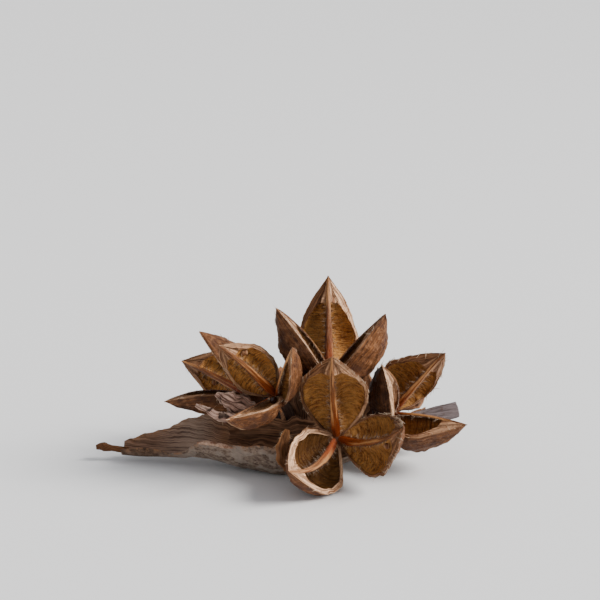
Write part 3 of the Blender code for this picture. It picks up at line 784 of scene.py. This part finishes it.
def blade(name, plan, seed, bract, hair):
    """A crumpled scrap of dry bract, with threads torn from its edges."""
    rows, columns = BLADE_ROWS, BLADE_COLUMNS
    line = smooth_line(plan["line"], rows)
    halves = spread(spread(plan["halves"], BLADE_STATIONS), rows) * MM
    draw = random.Random(seed)
    phase = [draw.uniform(0, 2 * math.pi) for _ in range(3)]
    j = np.linspace(0, BLADE_STATIONS - 1, rows)[:, None]
    v = np.linspace(-1, 1, columns)[None, :]
    along = unit(np.gradient(line, axis=0))
    up = np.array(plan["width"], float)
    up = unit(up - (along @ up)[:, None] * along)
    out = np.cross(up, along)
    fold = halves[:, None] * (0.35 * (1 - v * v) + 0.12 * np.sin(4 * v + 1.3 * j + phase[0])
                              + 0.08 * np.sin(7 * v - 0.9 * j + phase[1]))
    edge = 1 + 0.16 * np.sin(2.1 * j + phase[2] + v)
    edge = edge * (1 + 0.09 * np.abs(v) * grain(j * 2.2, 0 * j + seed, 50 + seed, 3))
    grid = line[:, None] + (up[:, None] * (halves[:, None] * v * edge)[..., None]
                            + out[:, None] * fold[..., None])
    u = halves[:, None] * v
    w = 0.001 * j * 5 + 0 * v
    crumple = noise(grid / 0.005, 60 + seed, 3)
    rough = 0.0009 if plan["purple"] > 0.5 else 0.0005
    grid = grid + out[:, None] * (rough * crumple)[..., None]
    rim = halves[:, None] * (1 - np.abs(v))
    shape = Shape()
    fibre = grain(u / 0.0008, w / 0.012, 61 + seed, 3)
    # Blades tucked under the fruits get the inner colour on both faces, the painted shade under the fruits
    # and no coloured edge.
    hidden = plan["purple"] + plan["brown"] < 0.5
    inner = {"inside": 1 + 0 * w, "dim": shaded(grid)} if hidden else {}
    two_sided(shape, grid, np.clip(BLADE_WALL[0] + rim * 0.3, *BLADE_WALL),
              {**inner, "flow": np.stack([u, w, 0 * w + seed], axis=-1),
               "rim": (0.0 if hidden else 1.0) * np.exp(-rim / 0.0008),
               "purple": plan["purple"] + 0 * w, "brown": plan["brown"] + 0 * w,
               "plates": np.clip(0.5 + 0.6 * crumple, 0, 1)},
              0.00015 * fibre, 0.00015 * fibre)
    for _ in range(plan["fray"]):
        side = draw.choice((0, columns - 1))
        row = draw.randrange(rows // 6, rows - 1)
        way = unit((1 if side else -1) * draw.uniform(0.2, 1) * up[row] + draw.uniform(-0.7, 0.7) * along[row]
                   + draw.uniform(-0.4, 0.4) * out[row])
        reach, thick = draw.uniform(1.0, 3.5), draw.uniform(0.1, 0.2)
        strand(hair, grid[row, side] - 0.0004 * way, way, reach * MM, thick * MM,
               (0, 0, -0.0006), draw, {"pale": flat(draw.uniform(0.4, 1.0))})
    shape.finish("fine_" + name, bract, "bract", name)


# --- materials ---


class Surface:
    """A Principled material and short ways to add nodes to it."""

    def __init__(self, name):
        self.material = bpy.data.materials.new(name)
        self.material.use_nodes = True
        self.tree = self.material.node_tree
        self.shader = self.tree.nodes["Principled BSDF"]

    def put(self, value, socket):
        if isinstance(value, bpy.types.NodeSocket):
            self.tree.links.new(value, socket)
        else:
            socket.default_value = value

    def put_colour(self, value, socket):
        self.put(value if isinstance(value, bpy.types.NodeSocket) else (*value, 1.0), socket)

    def attribute(self, name, output="Fac"):
        node = self.tree.nodes.new("ShaderNodeAttribute")
        node.attribute_name = name
        return node.outputs[output]

    def attributes(self, names):
        return [self.attribute(name) for name in names.split()]

    def position(self):
        return self.tree.nodes.new("ShaderNodeTexCoord").outputs["Object"]

    def scaled(self, vector, scale):
        node = self.tree.nodes.new("ShaderNodeVectorMath")
        node.operation = "MULTIPLY"
        self.put(vector, node.inputs[0])
        node.inputs[1].default_value = scale
        return node.outputs[0]

    def noise(self, vector, scale=1.0, detail=4.0, roughness=0.55, distortion=0.0):
        node = self.tree.nodes.new("ShaderNodeTexNoise")
        self.put(vector, node.inputs["Vector"])
        for key, value in (("Scale", scale), ("Detail", detail), ("Roughness", roughness),
                           ("Distortion", distortion)):
            node.inputs[key].default_value = value
        return node.outputs["Fac"]

    def product(self, a, b):
        node = self.tree.nodes.new("ShaderNodeMath")
        node.operation = "MULTIPLY"
        self.put(a, node.inputs[0])
        self.put(b, node.inputs[1])
        return node.outputs[0]

    def between(self, value, low, high):
        """0 below low, 1 above high."""
        node = self.tree.nodes.new("ShaderNodeMapRange")
        self.put(value, node.inputs["Value"])
        node.inputs["From Min"].default_value = low
        node.inputs["From Max"].default_value = high
        return node.outputs["Result"]

    def tinted(self, colour, tint):
        """A colour times another."""
        return self.mix(1.0, colour, tint, "MULTIPLY")

    def mix(self, share, a, b, blend="MIX"):
        node = self.tree.nodes.new("ShaderNodeMix")
        node.data_type = "RGBA"
        node.blend_type = blend
        self.put(share, node.inputs[0])
        self.put_colour(a, node.inputs[6])
        self.put_colour(b, node.inputs[7])
        return node.outputs[2]

    def bump(self, height, distance, strength=1.0, before=None):
        node = self.tree.nodes.new("ShaderNodeBump")
        node.inputs["Strength"].default_value = strength
        node.inputs["Distance"].default_value = distance
        self.put(height, node.inputs["Height"])
        if before is not None:
            self.put(before, node.inputs["Normal"])
        return node.outputs["Normal"]

    def finish(self, colour, roughness, normal=None, sheen=0.5):
        """Joins the colour, roughness, bumps and shine to the shader."""
        self.shader.inputs["Specular IOR Level"].default_value = sheen
        self.put_colour(colour, self.shader.inputs["Base Color"])
        self.put(roughness, self.shader.inputs["Roughness"])
        if normal is not None:
            self.put(normal, self.shader.inputs["Normal"])
        return self.material


def shell_material():
    s = Surface("capsule_shell_fine")
    flow = s.attribute("flow", "Vector")
    position = s.position()
    ridge, band, cup, deep, tone = s.attributes("ridge band cup deep tone")
    share, fringe, pale, mark, cell = s.attributes("share fringe pale mark cell")
    lines = s.noise(s.scaled(flow, (900, 55, 10)), 1, 5, 0.62)
    fine = s.noise(s.scaled(flow, (2600, 200, 10)), 1, 3, 0.6)
    streaks = s.noise(s.scaled(flow, (420, 22, 10)), 1, 4, 0.6)
    ribs = s.noise(s.scaled(flow, (130, 900, 10)), 1, 5, 0.62, 0.4)
    mottle = s.noise(position, 330, 6, 0.65)
    patches = s.noise(position, 75, 4, 0.6)
    specks = s.noise(position, 800, 3, 0.7)

    back = s.mix(s.between(lines, 0.38, 0.62), (0.055, 0.019, 0.007), (0.24, 0.092, 0.030))
    back = s.mix(s.between(mottle, 0.48, 0.70), back, (0.33, 0.155, 0.072))
    back = s.mix(s.between(patches, 0.50, 0.68), back, (0.075, 0.031, 0.018))
    clean = s.mix(s.between(lines, 0.40, 0.56), (0.20, 0.075, 0.028), (0.92, 0.57, 0.34))
    clean = s.mix(s.product(s.between(streaks, 0.52, 0.64), 0.6), clean, (0.26, 0.11, 0.045))
    brown = s.mix(s.between(lines, 0.40, 0.60), (0.060, 0.020, 0.006), (0.22, 0.085, 0.028))
    # A cut face goes from brown to clean by its paleness: partly its own brown, partly painted shade on the
    # face turned from the light.
    cut = s.mix(pale, brown, clean)
    cut = s.mix(s.between(mottle, 0.54, 0.68), cut, (0.17, 0.065, 0.025))
    chamber = s.mix(s.between(ribs, 0.38, 0.62), (0.17, 0.058, 0.011), (0.56, 0.26, 0.068))
    chamber = s.mix(s.product(s.between(mottle, 0.54, 0.68), 0.7), chamber, (0.12, 0.038, 0.009))
    chamber = s.mix(s.product(s.between(patches, 0.45, 0.7), 0.6), chamber, (0.60, 0.31, 0.09))
    chamber = s.mix(s.product(cell, 0.4), chamber, (0.46, 0.235, 0.06))
    chamber = s.mix(s.product(s.between(specks, 0.55, 0.66), 0.6), chamber, (0.80, 0.46, 0.17))
    chamber = s.mix(s.product(mark, 0.8), chamber, (0.045, 0.016, 0.003))
    # Painted shade in the chamber's hollow, strongest under the ridge strip.
    chamber = s.mix(s.product(deep, 0.4), chamber, s.tinted(chamber, (0.36, 0.27, 0.2)))
    # Painted shade along the chamber's edges, under the ridge strip and just inside the rim.
    chamber = s.mix(s.product(fringe, 0.8), chamber, (0.035, 0.011, 0.003))
    chamber = s.mix(s.attribute("chamber"), s.tinted(chamber, (0.42, 0.38, 0.34)),
                    s.tinted(chamber, (1.62, 1.6, 1.6)))
    strip = s.mix(s.between(share, 0.12, 0.40), (0.30, 0.052, 0.004), (0.25, 0.072, 0.016))
    strip = s.mix(s.between(share, 0.40, 0.72), strip, (0.22, 0.085, 0.030))
    strip = s.mix(s.between(lines, 0.46, 0.64), strip, s.tinted(strip, (0.36, 0.28, 0.22)))
    lit = s.product(s.between(streaks, 0.50, 0.58), s.between(share, 0.12, 0.3))
    strip = s.mix(s.product(lit, 0.75), strip, (0.66, 0.33, 0.13))
    strip = s.mix(s.product(s.between(pale, 0.6, 1.0), s.between(share, 0.25, 0.7)), strip,
                  s.mix(s.between(lines, 0.40, 0.60), (0.55, 0.28, 0.13), (0.20, 0.075, 0.028)))
    # Painted shade along the ridge strip's edges.
    strip = s.mix(s.product(fringe, 0.9), strip, (0.045, 0.014, 0.004))

    colour = s.mix(ridge, back, strip)
    # A valve's tone: partly its own colour, partly painted shade on valves that sit in shadow.
    colour = s.mix(tone, s.tinted(colour, (0.42, 0.38, 0.34)), s.tinted(colour, (1.4, 1.38, 1.36)))
    colour = s.mix(band, colour, cut)
    colour = s.mix(cup, colour, chamber)
    # Painted shade at the foot of the valves, where they meet round the heart.
    colour = s.mix(s.product(s.between(share, 0.14, 0.0), 0.6), colour, (0.08, 0.022, 0.005))
    colour = s.mix(s.between(specks, 0.60, 0.72), colour, s.tinted(colour, (0.38, 0.32, 0.28)))

    normal = s.bump(lines, 0.0014, 0.8)
    normal = s.bump(s.product(ribs, cup), 0.0028, 1.0, normal)
    normal = s.bump(fine, 0.0004, 0.7, normal)
    normal = s.bump(mottle, 0.0012, 0.7, normal)
    gloss = s.mix(ridge, (0.62,) * 3, (0.36,) * 3)
    return s.finish(colour, gloss, normal, 0.18)


def bract_material():
    s = Surface("bract_fine")
    flow = s.attribute("flow", "Vector")
    position = s.position()
    inside, rim, plates, purple, brown, pale = s.attributes("inside rim plates purple brown pale")
    lines = s.noise(s.scaled(flow, (1000, 35, 10)), 1, 6, 0.65)
    fine = s.noise(s.scaled(flow, (2600, 200, 10)), 1, 3, 0.6)
    mottle = s.noise(position, 330, 7, 0.72)
    patches = s.noise(position, 45, 5, 0.6)
    cracks = s.noise(s.scaled(flow, (420, 190, 10)), 1, 6, 0.75, 1.5)
    outer = s.mix(s.between(mottle, 0.40, 0.60), (0.14, 0.092, 0.066), (0.34, 0.262, 0.203))
    outer = s.mix(s.product(s.between(lines, 0.50, 0.60), 0.6), outer, (0.11, 0.07, 0.048))
    outer = s.mix(s.between(cracks, 0.45, 0.39), outer, (0.065, 0.038, 0.025))
    outer = s.mix(s.product(s.between(patches, 0.54, 0.66), 0.7), outer, (0.19, 0.13, 0.092))
    outer = s.mix(s.product(s.between(plates, 0.7, 0.9), 0.5), outer, (0.35, 0.29, 0.24))
    inner = s.mix(s.between(lines, 0.42, 0.58), (0.12, 0.072, 0.050), (0.47, 0.32, 0.235))
    inner = s.mix(s.between(patches, 0.45, 0.7), inner, (0.33, 0.225, 0.16))
    # Painted shade on the bract's inner side under the fruits.
    inner = s.mix(s.attribute("dim"), inner, s.tinted(inner, (0.80, 0.60, 0.43)))
    colour = s.mix(inside, outer, inner)
    colour = s.mix(s.attribute("tip"), colour, s.tinted(colour, (0.60, 0.50, 0.44)))
    edge = s.product(rim, s.between(mottle, 0.46, 0.56))
    colour = s.mix(s.product(edge, 0.8), colour, (0.30, 0.14, 0.06))
    scrap = s.mix(s.between(lines, 0.42, 0.58), (0.095, 0.045, 0.030), (0.62, 0.39, 0.30))
    scrap = s.mix(s.between(plates, 0.35, 0.15), scrap, (0.045, 0.023, 0.016))
    scrap = s.mix(s.product(rim, s.between(mottle, 0.44, 0.56)), scrap, (0.62, 0.43, 0.33))
    colour = s.mix(purple, colour, scrap)
    bark = s.mix(s.between(lines, 0.36, 0.62), (0.04, 0.014, 0.005), (0.17, 0.068, 0.024))
    bark = s.mix(s.product(rim, 0.8), bark, (0.38, 0.165, 0.06))
    colour = s.mix(brown, colour, bark)
    colour = s.mix(pale, colour, s.mix(s.between(mottle, 0.42, 0.6), (0.24, 0.12, 0.07), (0.58, 0.38, 0.27)))
    normal = s.bump(lines, 0.0010, 0.7)
    normal = s.bump(cracks, 0.0010, 0.5, normal)
    normal = s.bump(fine, 0.0003, 0.6, normal)
    return s.finish(colour, 0.7, normal, 0.18)


def wood_material():
    s = Surface("stalk_fine")
    flow = s.attribute("flow", "Vector")
    position = s.position()
    lines = s.noise(s.scaled(flow, (700, 50, 10)), 1, 6, 0.65)
    mottle = s.noise(position, 220, 6, 0.7)
    colour = s.mix(s.between(lines, 0.36, 0.62), (0.055, 0.038, 0.037), (0.215, 0.17, 0.168))
    colour = s.mix(s.between(mottle, 0.55, 0.68), colour, (0.08, 0.045, 0.034))
    colour = s.mix(s.attribute("brown"), colour, s.tinted(colour, (0.40, 0.27, 0.18)))
    normal = s.bump(lines, 0.0012, 0.8)
    normal = s.bump(mottle, 0.0006, 0.6, normal)
    return s.finish(colour, 0.65, normal, 0.25)


def fibre_material():
    s = Surface("fibre_fine")
    colour = s.mix(s.attribute("pale"), (0.075, 0.026, 0.009), (0.70, 0.52, 0.36))
    return s.finish(colour, 0.7)


def seed_material():
    s = Surface("seed_skin")
    return s.finish((0.035, 0.012, 0.006), 0.16)


# --- setting ---


def floor():
    bpy.ops.mesh.primitive_plane_add(size=FLOOR_SIZE, location=(0, 0, 0))
    sheet = bpy.context.active_object
    sheet.name = "floor"
    sheet.data.materials.append(Surface("floor_paper").finish((FLOOR_TONE,) * 3, 0.9))


def placed(name, data, place, way):
    """A lamp or a camera at its place, turned to look the given way."""
    obj = bpy.data.objects.new(name, data)
    obj.location = place
    obj.rotation_euler = way.to_track_quat("-Z", "Y").to_euler()
    bpy.context.scene.collection.objects.link(obj)
    return obj


def lights():
    world = bpy.data.worlds.new("studio")
    world.use_nodes = True
    sky = world.node_tree.nodes["Background"]
    sky.inputs["Color"].default_value = (*SKY_COLOUR, 1)
    sky.inputs["Strength"].default_value = SKY_STRENGTH
    bpy.context.scene.world = world

    key = bpy.data.lights.new("key", "SUN")
    key.energy = KEY_STRENGTH
    key.angle = math.radians(KEY_SOFTNESS)
    key.color = KEY_COLOUR
    placed("key", key, (0, 0, 0), Vector(KEY_WAY))

    wash = bpy.data.lights.new("wash", "AREA")
    wash.energy = WASH_STRENGTH
    wash.size = WASH_SIZE
    placed("wash", wash, WASH_PLACE, Vector(WASH_AIM) - Vector(WASH_PLACE))


def camera():
    lens = bpy.data.cameras.new("camera")
    lens.lens = CAMERA_LENS
    lens.sensor_width = CAMERA_SENSOR
    lens.clip_end = CAMERA_REACH
    target = Vector(CAMERA_TARGET) * MM - Vector((*MIDDLE, 0)) * MM
    tilt = math.radians(CAMERA_TILT)
    place = target + CAMERA_DISTANCE * Vector((0, -math.cos(tilt), math.sin(tilt)))
    bpy.context.scene.camera = placed("camera", lens, place, target - place)


def main():
    shell, bract, wood, fibre = shell_material(), bract_material(), wood_material(), fibre_material()
    for number, (name, plan) in enumerate(CAPSULES.items(), 1):
        capsule(name, plan, number, shell, fibre)
    seed_left(seed_material(), fibre)
    spathe(bract)
    hair = Shape()
    for number, (name, plan) in enumerate(BLADES.items(), 5):
        blade(name, plan, number, bract, hair)
    hair.finish("fibres_bract", fibre, "bract")
    stalk(wood)
    floor()
    lights()
    camera()


main()
